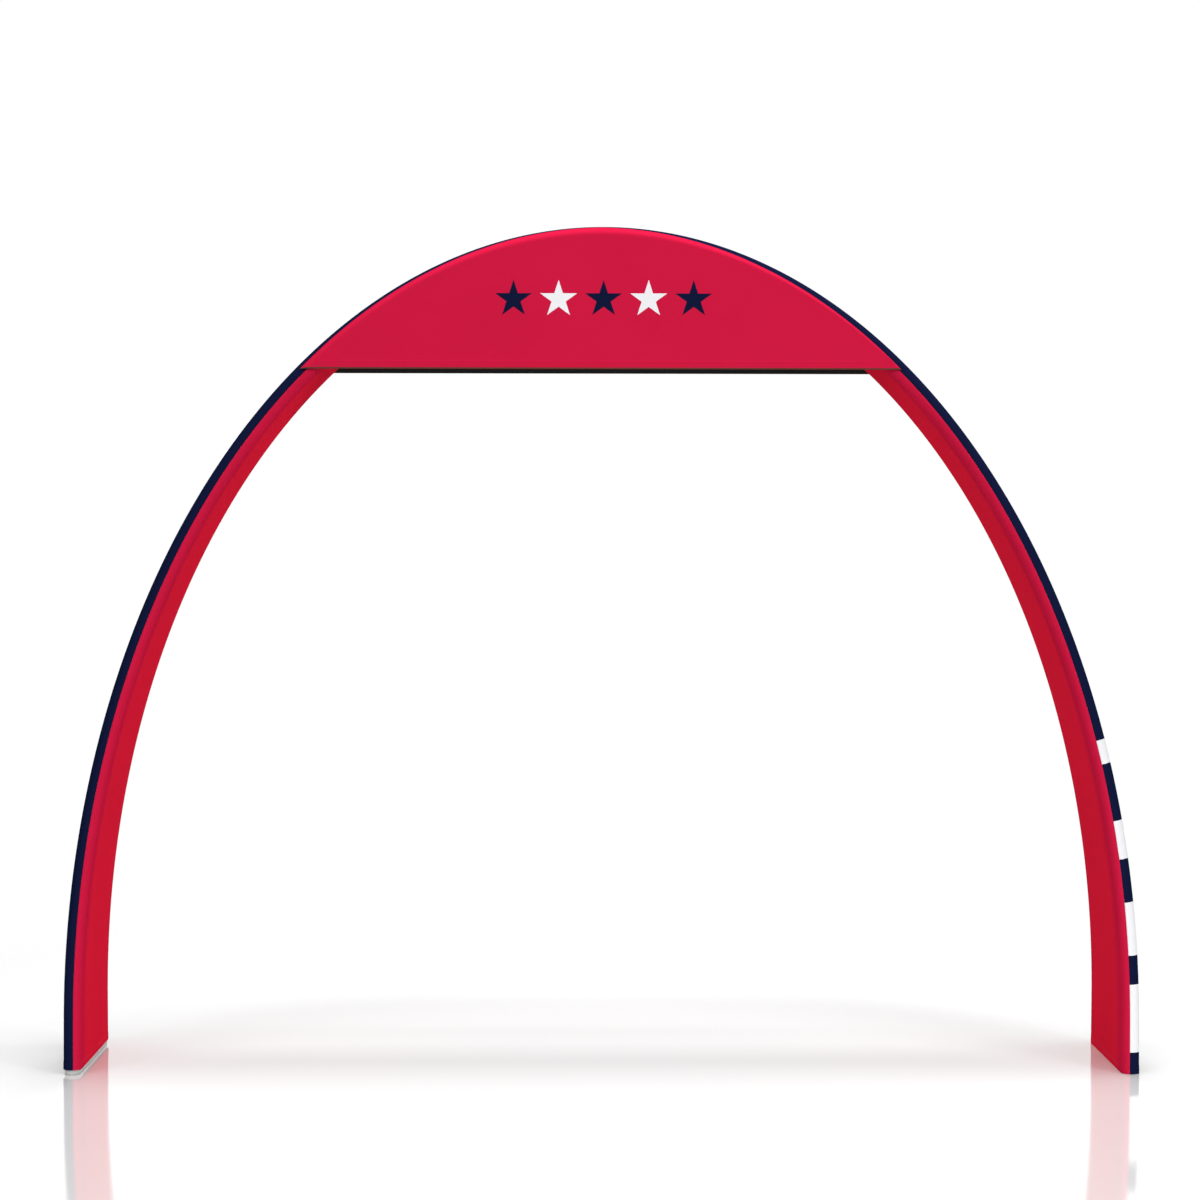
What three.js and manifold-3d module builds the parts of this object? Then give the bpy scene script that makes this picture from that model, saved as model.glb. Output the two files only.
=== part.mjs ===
// Archway banner stand: two bent tube arches that lean together, dressed in a taut sewn cloth cover.
// Millimetres, +Z up. X runs along the span, Y through the passage, and the front faces -Y.
// The origin is on the floor, in the middle of the passage.
import * as THREE from "three";
import { mergeVertices } from "three/addons/utils/BufferGeometryUtils.js";
import Module from "manifold-3d";

const wasm = await Module();
wasm.setup();

// The whole arch, measured over the cloth
const SPAN = 3000;
const HEIGHT = 2360;
const DEPTH_AT_FLOOR = 490;
const DEPTH_AT_TOP = 375;
const EDGE = 50; // thickness of the arch, seen from the front
const SPRING = 150; // the feet are straight up to here, and the curve starts

// Cloth
const CLOTH = 1.5;
const SEAM_GAP = 0.5;
const SEAM_INSIDE_AT_FLOOR = 5; // the seams run this far inside the middle of a tube's front
const SEAM_INSIDE_AT_TOP = 0.5;
const DISH = 4; // how far taut cloth draws in, midway between the tubes
const DISH_FROM = 400; // full from this height up: the foot plates hold the cloth flat
const HEM_LEFT = 14; // the left hem rides up and shows the foot plate
const HEM_RIGHT = 1;

// Header
const HEADER_HEM = 1961.5; // height of the front banner's straight bottom hem
const BACK_HEM_HIGHER = 11; // the back banner's hem is above the front one's by this much
const STAND_OFF_AT_RIM = 0.5; // air between a banner and the band cloth under it
const STAND_OFF_AT_HEM = 14;
const INNER_BAND_ABOVE_HEM = 34; // the leg bands run up inside the header, out of sight
const UNDERSIDE_ABOVE_HEM = 35;
const BANNER_ENDS = 6; // how far past its tips, in degrees of arch, a banner is laid before its hem is cut
// Width of the outer band's rim that shows beyond the banner, seen from the front.
// way: -1 at the left tip, 0 at the top of the arch, 1 at the right tip.
const RIM = [
  { way: -1, width: 11 },
  { way: -0.5, width: 7 },
  { way: 0, width: 2 },
  { way: 0.5, width: 13.5 },
  { way: 1, width: 21 },
];

// Frame
const TUBE_RADIUS = 22;
const TUBE_WALL = 2;
const FRAME_GAP = 0.4; // between frame pieces that meet
const COPE_RADIUS = 25.5; // of the hollow in a rail's ends that takes the arch tube
const SPREADER_RADIUS = 12;
const SPREADER_HEIGHTS = [600, 1300];
const PLATE_THICK = 12;
const PLATE_INSET = 3; // the plate's outline inside the cloth's
const SPIGOT_RADIUS = 17;
const SPIGOT_LENGTH = 80;

// Fineness
const ARCH_STEPS = 60; // along the curve, foot to foot
const LIP_STEPS = 4; // round a quarter of a tube
const FLAT_STEPS = 4; // across, from tube to tube
const TUBE_SIDES = 8;
const BAR_SIDES = 12;
const PLATE_END_STEPS = 10;
const CUT_SPARE = 100; // how far a piece or a tool runs past the edge that is cut
const WELD = 0.001; // points nearer than this are one

const FRONT = -1;
const BACK = 1;
const LEFT = -1;
const RIGHT = 1;
const QUARTER = Math.PI / 2;
const CLOTH_RADIUS = EDGE / 2; // outside of the band cloth round a tube's middle
const MIDDLE_HALF_SPAN = SPAN / 2 - EDGE / 2; // to the middle of the edge
const MIDDLE_RISE = HEIGHT - SPRING - EDGE / 2;
// Each face leans in by this much a millimetre of height.
const LEAN = (DEPTH_AT_FLOOR - DEPTH_AT_TOP) / 2 / HEIGHT;

const clothRed = { color: 0xce1b41, roughness: 0.7, metalness: 0 };
const clothNavy = { color: 0x111734, roughness: 0.7, metalness: 0 };
const clothDark = { color: 0x212121, roughness: 0.8, metalness: 0 };
const bareAluminium = { color: 0xb8bbc0, roughness: 0.35, metalness: 1 };
const paleCoating = { color: 0xd6d6d6, roughness: 0.45, metalness: 0.2 };

const halfDepth = (z) => DEPTH_AT_FLOOR / 2 - LEAN * z;
const tubeY = (z) => halfDepth(z) - EDGE / 2;
const shares = (count) => Array.from({ length: count + 1 }, (_, i) => i / count);
const lerp = THREE.MathUtils.lerp;
const clamp = THREE.MathUtils.clamp;

// A station is a place on the middle of the arch's edge, with the outward direction there.
function curveStation(angle) {
  const out = new THREE.Vector2(Math.cos(angle) / MIDDLE_HALF_SPAN, Math.sin(angle) / MIDDLE_RISE);
  return {
    angle,
    x: MIDDLE_HALF_SPAN * Math.cos(angle),
    z: SPRING + MIDDLE_RISE * Math.sin(angle),
    out: out.normalize(),
  };
}

function footStation(side, z) {
  const angle = side === LEFT ? Math.PI : 0;
  return { angle, x: side * MIDDLE_HALF_SPAN, z, out: new THREE.Vector2(side, 0) };
}

// The curve's stations from left to right, evenly spaced in the ellipse's angle.
const CURVE = shares(ARCH_STEPS).map((share) => curveStation(Math.PI * (1 - share)));
const angleAtHeight = (z) => Math.asin((z - SPRING) / MIDDLE_RISE);

// The whole arch from foot to foot.
function archStations(leftFoot, rightFoot) {
  return [footStation(LEFT, leftFoot), ...CURVE, footStation(RIGHT, rightFoot)];
}

// A point at a radius round a tube's middle.
// Turn 0 faces out of the arch, and a quarter turn faces front or back.
function roundTube(station, side, radius, turn) {
  const reach = radius * Math.cos(turn);
  return [
    station.x + station.out.x * reach,
    side * (tubeY(station.z) + radius * Math.sin(turn)),
    station.z + station.out.y * reach,
  ];
}

// A closed sheet between two grids of points.
// Rows run along the piece, and the outer face looks along row x column.
// With closed set, each row runs right round, as in a tube.
function sheetBetween(outer, inner, closed = false) {
  const rows = outer.length;
  const columns = outer[0].length;
  const positions = new Float32Array([...outer, ...inner].flat(2));
  const index = [];
  const at = (layer, row, column) => (layer * rows + row) * columns + (column % columns);
  const quad = (a, b, c, d) => index.push(a, b, c, a, c, d);
  const lastColumn = closed ? columns : columns - 1;
  for (let row = 0; row < rows - 1; row++) {
    for (let column = 0; column < lastColumn; column++) {
      quad(at(0, row, column), at(0, row + 1, column), at(0, row + 1, column + 1), at(0, row, column + 1));
      quad(at(1, row, column), at(1, row, column + 1), at(1, row + 1, column + 1), at(1, row + 1, column));
    }
  }
  for (let column = 0; column < lastColumn; column++) {
    const end = rows - 1;
    quad(at(0, 0, column), at(0, 0, column + 1), at(1, 0, column + 1), at(1, 0, column));
    quad(at(0, end, column), at(1, end, column), at(1, end, column + 1), at(0, end, column + 1));
  }
  if (!closed) {
    for (let row = 0; row < rows - 1; row++) {
      const end = columns - 1;
      quad(at(0, row, 0), at(1, row, 0), at(1, row + 1, 0), at(0, row + 1, 0));
      quad(at(0, row, end), at(0, row + 1, end), at(1, row + 1, end), at(1, row, end));
    }
  }
  const geometry = new THREE.BufferGeometry();
  geometry.setAttribute("position", new THREE.BufferAttribute(positions, 3));
  geometry.setIndex(index);
  return geometry;
}

// Joins and cuts
function solidOf(geometry) {
  const bare = new THREE.BufferGeometry();
  bare.setAttribute("position", geometry.getAttribute("position"));
  bare.setIndex(geometry.index);
  const merged = mergeVertices(bare, WELD);
  const mesh = new wasm.Mesh({
    numProp: 3,
    vertProperties: merged.attributes.position.array,
    triVerts: new Uint32Array(merged.index.array),
  });
  return new wasm.Manifold(mesh);
}

function geometryOf(solid) {
  const mesh = solid.getMesh();
  const geometry = new THREE.BufferGeometry();
  geometry.setAttribute("position", new THREE.BufferAttribute(mesh.vertProperties, 3));
  geometry.setIndex(new THREE.BufferAttribute(mesh.triVerts, 1));
  return geometry;
}

const cut = (geometry, ...tools) =>
  geometryOf(tools.reduce((solid, tool) => solid.subtract(solidOf(tool)), solidOf(geometry)));
const join = (geometry, ...others) =>
  geometryOf(others.reduce((solid, other) => solid.add(solidOf(other)), solidOf(geometry)));

// A block wider than the arch, from one height to another, to cut a level edge with.
function levelBlock(low, high) {
  const block = new THREE.BoxGeometry(SPAN * 2, DEPTH_AT_FLOOR * 2, high - low);
  return block.translate(0, 0, (low + high) / 2);
}

// How far round a tube the seam between the outer and the inner band runs.
function seamTurn(z) {
  const inside = lerp(SEAM_INSIDE_AT_FLOOR, SEAM_INSIDE_AT_TOP, z / HEIGHT);
  return QUARTER + Math.asin(inside / CLOTH_RADIUS);
}

// One row of band cloth: over the front tube from its seam, across, and over the back tube to its seam.
// The cloth lies flat at turn 0 on the outside of the arch, and at half a turn on the inside.
function bandRow(station, radius, flatTurn) {
  const halfGap = SEAM_GAP / 2 / CLOTH_RADIUS;
  const edgeTurn = seamTurn(station.z) - Math.cos(flatTurn) * halfGap;
  const lip = shares(LIP_STEPS).map((share) => lerp(edgeTurn, flatTurn, share));
  const front = lip.map((turn) => roundTube(station, FRONT, radius, turn));
  const back = lip.map((turn) => roundTube(station, BACK, radius, turn));
  const facing = Math.cos(flatTurn);
  const dish = DISH * THREE.MathUtils.smoothstep(station.z, 0, DISH_FROM);
  const across = shares(FLAT_STEPS).slice(1, -1).map((share) => {
    const way = 2 * share - 1;
    const reach = facing * (radius - dish * (1 - way * way));
    return [station.x + station.out.x * reach, way * tubeY(station.z), station.z + station.out.y * reach];
  });
  return [...front, ...across, ...back.reverse()];
}

function outerBand() {
  const stations = archStations(HEM_LEFT, HEM_RIGHT);
  const rows = (radius) => stations.map((station) => bandRow(station, radius, 0));
  return sheetBetween(rows(CLOTH_RADIUS), rows(CLOTH_RADIUS - CLOTH));
}

function innerBand(side, hem) {
  const top = HEADER_HEM + INNER_BAND_ABOVE_HEM;
  const inLeg = (station) => station.x * side > 0 && station.z < top + CUT_SPARE;
  const stations = archStations(hem, hem).filter(inLeg);
  const rows = (radius) => stations.map((station) => bandRow(station, radius, Math.PI).reverse());
  const band = sheetBetween(rows(CLOTH_RADIUS), rows(CLOTH_RADIUS - CLOTH));
  return cut(band, levelBlock(top, HEIGHT));
}

// The rim's width at a way round the header, in straight steps between the table's rows.
function rimWidth(way) {
  const next = RIM.findIndex((row) => row.way >= way);
  const [low, high] = [RIM[Math.max(next - 1, 0)], RIM[Math.max(next, 1)]];
  return THREE.MathUtils.mapLinear(way, low.way, high.way, low.width, high.width);
}

// A banner hangs straight from the front or back of its tube, and wraps over the tube to the rim.
// Its air gap narrows evenly on the way round the tube.
function banner(side) {
  const hemHeight = side === FRONT ? HEADER_HEM : HEADER_HEM + BACK_HEM_HIGHER;
  const tip = angleAtHeight(HEADER_HEM);
  const reach = tip - THREE.MathUtils.degToRad(BANNER_ENDS);
  const stations = CURVE.filter((station) => Math.sin(station.angle) >= Math.sin(reach));
  const rimRadius = CLOTH_RADIUS + STAND_OFF_AT_RIM + CLOTH;
  const row = (station, behind) => {
    const way = clamp((QUARTER - station.angle) / (QUARTER - tip), -1, 1);
    const edgeTurn = Math.acos((CLOTH_RADIUS - rimWidth(way)) / rimRadius);
    const low = Math.min(HEADER_HEM, station.z) - CUT_SPARE;
    const hem = [station.x, side * (halfDepth(low) + STAND_OFF_AT_HEM + CLOTH - behind), low];
    const wrap = shares(LIP_STEPS).map((share) => {
      const radius = CLOTH_RADIUS + lerp(STAND_OFF_AT_HEM, STAND_OFF_AT_RIM, share) + CLOTH - behind;
      return roundTube(station, side, radius, lerp(QUARTER, edgeTurn, share));
    });
    return [hem, ...wrap];
  };
  const rows = (behind) => stations.map((station) => row(station, behind));
  const ordered = (grid) => (side === FRONT ? grid : grid.reverse());
  const sheet = sheetBetween(ordered(rows(0)), ordered(rows(CLOTH)));
  return cut(sheet, levelBlock(0, hemHeight));
}

// A level strip inside the header, from banner to banner and out to the inside of the leg bands' cloth.
function headerUnderside() {
  const low = HEADER_HEM + UNDERSIDE_ABOVE_HEM;
  const end = curveStation(angleAtHeight(low + CLOTH));
  const halfLength = end.x - (CLOTH_RADIUS - CLOTH) / end.out.x;
  const halfWidth = halfDepth(low + CLOTH) + STAND_OFF_AT_HEM - SEAM_GAP;
  const strip = new THREE.BoxGeometry(halfLength * 2, halfWidth * 2, CLOTH);
  return strip.translate(0, 0, low + CLOTH / 2);
}

// A tube round one arch, from plate to plate.
function archTube(side) {
  const seat = PLATE_THICK + FRAME_GAP;
  const stations = archStations(seat, seat);
  const turns = shares(TUBE_SIDES).slice(0, -1).map((share) => side * share * 2 * Math.PI);
  const rows = (radius) =>
    stations.map((station) => turns.map((turn) => roundTube(station, side, radius, turn)));
  return sheetBetween(rows(TUBE_RADIUS), rows(TUBE_RADIUS - TUBE_WALL), true);
}

// A rod along an arch tube at a station, to cope a rail's end with.
function copeRod(station, side) {
  const along = new THREE.Vector3(-station.out.y, -side * LEAN * station.out.x, station.out.x).normalize();
  const turn = new THREE.Quaternion().setFromUnitVectors(new THREE.Vector3(0, 1, 0), along);
  const rod = new THREE.CylinderGeometry(COPE_RADIUS, COPE_RADIUS, CUT_SPARE * 2, BAR_SIDES);
  return rod.applyQuaternion(turn).translate(station.x, side * tubeY(station.z), station.z);
}

// A straight tube behind a banner, above its hem, coped at its ends to fit the arch tube.
function headerRail(side) {
  const height = HEADER_HEM + UNDERSIDE_ABOVE_HEM + CLOTH * 2 + TUBE_RADIUS;
  const angle = angleAtHeight(height);
  const ends = [curveStation(Math.PI - angle), curveStation(angle)];
  const turns = shares(TUBE_SIDES).slice(0, -1).map((share) => share * 2 * Math.PI);
  const ring = (x, radius) =>
    turns.map((turn) => [
      x,
      side * tubeY(height) + radius * Math.sin(turn),
      height + radius * Math.cos(turn),
    ]);
  const rows = (radius) => ends.map((end) => ring(end.x, radius));
  const rail = sheetBetween(rows(TUBE_RADIUS), rows(TUBE_RADIUS - TUBE_WALL), true);
  return cut(rail, ...ends.map((end) => copeRod(end, side)));
}

// A bar from the front tube to the back tube, at a station of the arch.
function spreader(station) {
  const length = 2 * (tubeY(station.z) - TUBE_RADIUS - FRAME_GAP);
  const bar = new THREE.CylinderGeometry(SPREADER_RADIUS, SPREADER_RADIUS, length, BAR_SIDES);
  return bar.translate(station.x, 0, station.z);
}

// A flat plate with round ends, and two spigots that stand in the tubes and lean as they do.
function footPlate() {
  const radius = EDGE / 2 - PLATE_INSET;
  const straight = tubeY(0);
  const outline = new THREE.Shape();
  outline.absarc(0, straight, radius, 0, Math.PI, false);
  outline.absarc(0, -straight, radius, Math.PI, 2 * Math.PI, false);
  const settings = { depth: PLATE_THICK, bevelEnabled: false, curveSegments: PLATE_END_STEPS };
  const plate = new THREE.ExtrudeGeometry(outline, settings);
  const spigots = [FRONT, BACK].map((side) => {
    const foot = PLATE_THICK / 2;
    const spigot = new THREE.CylinderGeometry(SPIGOT_RADIUS, SPIGOT_RADIUS, SPIGOT_LENGTH, BAR_SIDES);
    spigot.translate(0, SPIGOT_LENGTH / 2, 0);
    spigot.rotateX(QUARTER + side * Math.atan(LEAN));
    return spigot.translate(0, side * tubeY(foot), foot);
  });
  return join(plate, ...spigots);
}

const group = new THREE.Group();

function addPiece(name, geometry, finish, x = 0) {
  const mesh = new THREE.Mesh(geometry, new THREE.MeshStandardMaterial(finish));
  mesh.name = name;
  mesh.position.x = x;
  group.add(mesh);
}

addPiece("outer_band", outerBand(), clothNavy);
addPiece("inner_band_left", innerBand(LEFT, HEM_LEFT), clothRed);
addPiece("inner_band_right", innerBand(RIGHT, HEM_RIGHT), clothRed);
addPiece("header_front", banner(FRONT), clothRed);
addPiece("header_back", banner(BACK), clothRed);
addPiece("header_underside", headerUnderside(), clothDark);
addPiece("arch_tube_front", archTube(FRONT), bareAluminium);
addPiece("arch_tube_back", archTube(BACK), bareAluminium);
addPiece("header_rail_front", headerRail(FRONT), bareAluminium);
addPiece("header_rail_back", headerRail(BACK), bareAluminium);
SPREADER_HEIGHTS.forEach((height, i) => {
  const angle = angleAtHeight(height);
  addPiece(`spreader_left_${i + 1}`, spreader(curveStation(Math.PI - angle)), bareAluminium);
  addPiece(`spreader_right_${i + 1}`, spreader(curveStation(angle)), bareAluminium);
});
addPiece("spreader_top", spreader(curveStation(QUARTER)), bareAluminium);
addPiece("foot_plate_left", footPlate(), paleCoating, -MIDDLE_HALF_SPAN);
addPiece("foot_plate_right", footPlate(), paleCoating, MIDDLE_HALF_SPAN);

export default group;
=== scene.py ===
"""Archway banner stand: a taut sewn cloth cover on a frame of two bent tubes.

Metres, +Z up. X runs along the span, Y through the passage, and the front faces -Y.
The origin is on the floor, in the middle of the passage.
"""

import math
import typing

import bpy
import numpy as np
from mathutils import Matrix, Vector


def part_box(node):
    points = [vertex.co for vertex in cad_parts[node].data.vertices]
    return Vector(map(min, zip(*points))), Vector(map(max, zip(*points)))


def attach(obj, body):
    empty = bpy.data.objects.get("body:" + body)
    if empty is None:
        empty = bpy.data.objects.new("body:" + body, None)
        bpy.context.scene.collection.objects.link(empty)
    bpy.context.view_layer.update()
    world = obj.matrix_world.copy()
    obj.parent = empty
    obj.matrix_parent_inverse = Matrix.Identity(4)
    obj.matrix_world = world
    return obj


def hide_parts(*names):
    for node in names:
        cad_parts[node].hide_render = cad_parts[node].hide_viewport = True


bl_info = {
    "name": "Archway banner stand",
    "version": (1, 0, 0),
    "blender": (4, 5, 0),
    "location": "View3D > Sidebar > Archway",
    "description": "Dresses a tube-framed archway in a taut sewn cloth cover",
    "category": "Add Mesh",
}

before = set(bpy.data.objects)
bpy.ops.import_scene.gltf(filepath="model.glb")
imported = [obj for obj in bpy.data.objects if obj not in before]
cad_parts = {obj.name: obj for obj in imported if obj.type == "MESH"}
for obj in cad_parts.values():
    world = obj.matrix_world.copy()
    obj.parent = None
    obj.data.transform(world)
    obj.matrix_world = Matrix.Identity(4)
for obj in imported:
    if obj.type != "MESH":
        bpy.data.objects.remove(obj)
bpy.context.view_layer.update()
BAND_LOW, BAND_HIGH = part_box("outer_band")

MM = 0.001
FRONT, BACK = -1, 1
LEFT, RIGHT = -1, 1
SIDE_NAMES = {FRONT: "front", BACK: "back"}
LEG_NAMES = {LEFT: "left", RIGHT: "right"}
OUTWARD, INWARD = 1, -1  # which face of the arch a band covers
QUARTER = math.pi / 2

# Cover: where its pieces lie on the tubes
SEAM_GAP = 0.5 * MM
SEAM_INSIDE_AT_FLOOR = 5 * MM  # the seams run this far inside the middle of a tube's front
SEAM_INSIDE_AT_TOP = 0.5 * MM
DISH_FROM = 400 * MM  # taut cloth is drawn in fully from this height up
BACK_HEM_HIGHER = 11 * MM  # the back banner's hem is above the front one's by this much
STAND_OFF_AT_RIM = 0.5 * MM  # air between a banner and the band cloth under it
STAND_OFF_AT_HEM = 14 * MM
INNER_BAND_ABOVE_HEM = 34 * MM  # the leg bands run up inside the header, out of sight
UNDERSIDE_SAG = 2 * MM
# Rim of the outer band that shows beyond a banner, seen from the front:
# way round the header, -1 at the left tip and 1 at the right tip, and the rim's width.
RIM_WAYS = np.array([-1.0, -0.5, 0.0, 0.5, 1.0])
RIM_WIDTHS = np.array([11.0, 7.0, 2.0, 13.5, 21.0]) * MM

# Sewing
HEM_DEPTH = 20 * MM  # of the doubled cloth along a hem
HEM_SWELL = 0.7 * MM  # the doubled cloth stands out by this much
HEM_EASE = 3 * MM  # over which the swell dies out
HEM_GROOVE = 0.5 * MM  # the stitches draw the hem in
HEM_GROOVE_WIDTH = 1.5 * MM
HEM_BAND = 4.5 * MM  # width of the dark brownish band along a banner's hem
SEAM_TURN_IN = 0.9 * MM  # a sewn edge turns in towards the tube
SEAM_TURN_WIDTH = 1.6 * MM
STITCH_PITCH = 4 * MM
STITCH_LENGTH = 3.2 * MM
STITCH_WIDTH = 0.9 * MM
STITCH_HEIGHT = 0.4 * MM
STITCH_FROM_EDGE = 5 * MM
STITCH_FROM_HEM = 17 * MM
STRETCH = 1.05  # the cover is cut this much smaller than the frame, each way

# Foot plates
PLATE_THICK = 12 * MM
PLATE_INSET = 3 * MM  # the plate's outline inside the cloth's
PLATE_ROUNDING = 2 * MM
SPIGOT_RADIUS = 17 * MM
SPIGOT_LENGTH = 80 * MM
SPIGOT_CHAMFER = 2 * MM

# Fineness
LINE_STEPS = 4000
ROW_STEP = 20 * MM
ROW_DIGITS = 6  # of the rows' distances in metres, so that no two rows all but meet
BANNER_ROW_STEP = 10 * MM
BANNER_TIP_GAP = 1 * MM  # a banner's outermost rows are this far from its tips
HEM_ROWS = np.array([0, 0.5, 1.5, 4, 9, 14, 15.5, 17, 18.5, 20, 21.5, 23, 28]) * MM
LIP_SHARES = np.concatenate([[0, 0.012, 0.03, 0.06, 0.1], np.linspace(0.18, 1, 9)])
WAYS = np.linspace(-1, 1, 21)[1:-1]
RIM_COLUMNS = np.array([0, 0.4, 1, 2, 3.5, 5.5, 8, 11, 14, 18, 22, 26, 30, 34, 38, 42]) / 42
RIM_ZONE = 42 * MM  # finer columns along a banner's rim
RIM_ZONE_MOST = 0.6  # of a short row's length
HEM_ZONE_MOST = 0.25
PANEL_COLUMNS = 24
UNDERSIDE_ROWS = 81
UNDERSIDE_COLUMNS = 21
HEIGHT_ROUNDS = 8
PLATE_END_POINTS = 24
ROUNDING_POINTS = 5
SPIGOT_POINTS = 24
SHARP_EDGE = math.radians(50)  # sharper edges are not smoothed


def linear(hex_colour):
    """A colour given as six sRGB hex digits, as three linear values."""
    values = [int(hex_colour[i:i + 2], 16) / 255 for i in (0, 2, 4)]
    return tuple(v / 12.92 if v <= 0.04045 else ((v + 0.055) / 1.055) ** 2.4 for v in values)


def length_property(name, description, default):
    """A size in metres, shown in the scene's length unit."""
    return bpy.props.FloatProperty(
        name=name, description=description, default=default, min=0.0, precision=4, unit="LENGTH"
    )


def colour_property(name, description, hex_colour):
    """A colour, given by its sRGB hex digits."""
    return bpy.props.FloatVectorProperty(
        name=name, description=description, default=linear(hex_colour), size=3, min=0.0, max=1.0,
        subtype="COLOR",
    )


class ArchwaySizes(bpy.types.PropertyGroup):
    """Sizes of the arch, measured over the cloth."""

    span: length_property("Span", "Width over both legs", round(BAND_HIGH.x - BAND_LOW.x, 4))
    height: length_property("Height", "From the floor to the top of the arch", round(BAND_HIGH.z, 4))
    depth_at_floor: length_property("Depth at floor", "Front to back at the feet", 490 * MM)
    depth_at_top: length_property("Depth at top", "Front to back at the top of the arch", 375 * MM)
    edge: length_property("Edge", "Thickness of the arch, seen from the front", 50 * MM)
    spring: length_property("Spring", "The feet are straight up to here", 150 * MM)
    cloth: length_property("Cloth", "Thickness of the cover's cloth", 1.5 * MM)
    dish: length_property("Dish", "How far the taut cloth draws in between the tubes", 4 * MM)
    hem_left: length_property("Left hem", "Height of the left leg's hem", 14 * MM)
    hem_right: length_property("Right hem", "Height of the right leg's hem", 1 * MM)
    header_hem: length_property("Header hem", "Height of the front banner's straight hem", 1961.5 * MM)


class ArchwayColours(bpy.types.PropertyGroup):
    """Colours of the cover and of the frame."""

    red: colour_property("Red", "Banners and inside of the legs", "C1183C")
    # the print's warmer red, made lighter as painted light on the legs' inner faces
    inner_red_with_painted_light: colour_property("Red inside", "Inner faces of the legs, between their edges", "DB1D38")
    navy: colour_property("Navy", "Outer band, and the darker print", "111734")
    white: colour_property("White", "The lighter print", "E3E3E6")
    dark: colour_property("Dark", "Inside and underside of the header", "393A3A")
    # a dark brownish band of colour along the banners' hems
    hem_band: colour_property("Binding", "Bound edge along the banners' hems", "62362E")
    plate: colour_property("Foot plate", "Powder coat of the foot plates", "B8B8B8")
    tube: colour_property("Tube", "Bare aluminium of the frame", "B8BBC0")
    floor: colour_property("Floor", "Studio floor", "E9E9E9")


class Line(typing.NamedTuple):
    """The middle of the arch's edge: length walked from the left foot, place, and outward direction."""

    walked: np.ndarray
    x: np.ndarray
    z: np.ndarray
    out_x: np.ndarray
    out_z: np.ndarray


def half_axes(sizes):
    """Half the span and the rise of the middle line's half ellipse."""
    return (sizes.span - sizes.edge) / 2, sizes.height - sizes.spring - sizes.edge / 2


def middle_line(sizes):
    """Up the straight left foot, round half an ellipse, and down the right foot, as a fine table.

    On the ellipse, x is the half span times the cosine of its angle, z the rise times the sine, and the
    outward direction has the cosine over the half span and the sine over the rise, made one long.
    """
    half_span, rise = half_axes(sizes)
    angle = np.linspace(math.pi, 0, LINE_STEPS + 1)
    out = np.stack([np.cos(angle) / half_span, np.sin(angle) / rise])
    out /= np.linalg.norm(out, axis=0)
    x = np.concatenate([[-half_span], half_span * np.cos(angle), [half_span]])
    z = np.concatenate([[0], sizes.spring + rise * np.sin(angle), [0]])
    walked = np.concatenate([[0], np.cumsum(np.hypot(np.diff(x), np.diff(z)))])
    return Line(walked, x, z, np.concatenate([[-1], out[0], [1]]), np.concatenate([[0], out[1], [0]]))


def stations(line, walked):
    """The line's places at these lengths, by straight interpolation in its table."""
    return Line(walked, *(np.interp(walked, line.walked, column) for column in line[1:]))


def half_depth(sizes, z):
    """Half the depth over the cloth, which shrinks evenly with height as the arches lean together."""
    lean = (sizes.depth_at_floor - sizes.depth_at_top) / 2 / sizes.height
    return sizes.depth_at_floor / 2 - lean * z


def tube_y(sizes, z):
    """How far a tube's middle stands from the middle of the passage."""
    return half_depth(sizes, z) - sizes.edge / 2


def points_at(x, y, z):
    """Three coordinates of a whole grid, spread to its size, as points."""
    return np.stack(np.broadcast_arrays(x, y, z), -1)


def round_tube(sizes, at, side, radius, turn):
    """Points round a tube's middle: outwards by radius times the cosine of turn, to its side by the sine."""
    reach = radius * np.cos(turn)
    y = side * (tube_y(sizes, at.z) + radius * np.sin(turn))
    return points_at(at.x + at.out_x * reach, y, at.z + at.out_z * reach)


def unit(vectors):
    """Vectors made one long."""
    return vectors / np.linalg.norm(vectors, axis=-1, keepdims=True)


def smooth(share):
    """A smooth step: three squares less two cubes of the share, held between 0 and 1."""
    share = np.clip(share, 0, 1)
    return share * share * (3 - 2 * share)


def hem_relief(distance):
    """Swell of a doubled hem, which eases out past its depth, less a groove along its stitches."""
    swell = HEM_SWELL * (1 - smooth((distance - HEM_DEPTH) / HEM_EASE))
    groove = HEM_GROOVE * np.exp(-(((distance - STITCH_FROM_HEM) / HEM_GROOVE_WIDTH) ** 2))
    return swell - groove


def turn_in(distance):
    """How far a sewn edge dips towards the tube: a bell curve of the distance from the edge."""
    return SEAM_TURN_IN * np.exp(-((distance / SEAM_TURN_WIDTH) ** 2))


def seam_turn(sizes, z):
    """How far round a tube the seam runs: a quarter turn, and a little more towards the floor."""
    inside = SEAM_INSIDE_AT_FLOOR + (SEAM_INSIDE_AT_TOP - SEAM_INSIDE_AT_FLOOR) * z / sizes.height
    return QUARTER + np.arcsin(inside / (sizes.edge / 2))


def lip_turns(sizes, z, facing, shares):
    """Turns from the seam to where the cloth leaves the tube: 0 outside the arch, half a turn inside."""
    edge = seam_turn(sizes, z) - facing * SEAM_GAP / sizes.edge
    flat = 0 if facing == OUTWARD else math.pi
    return edge, edge + (flat - edge) * shares


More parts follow.
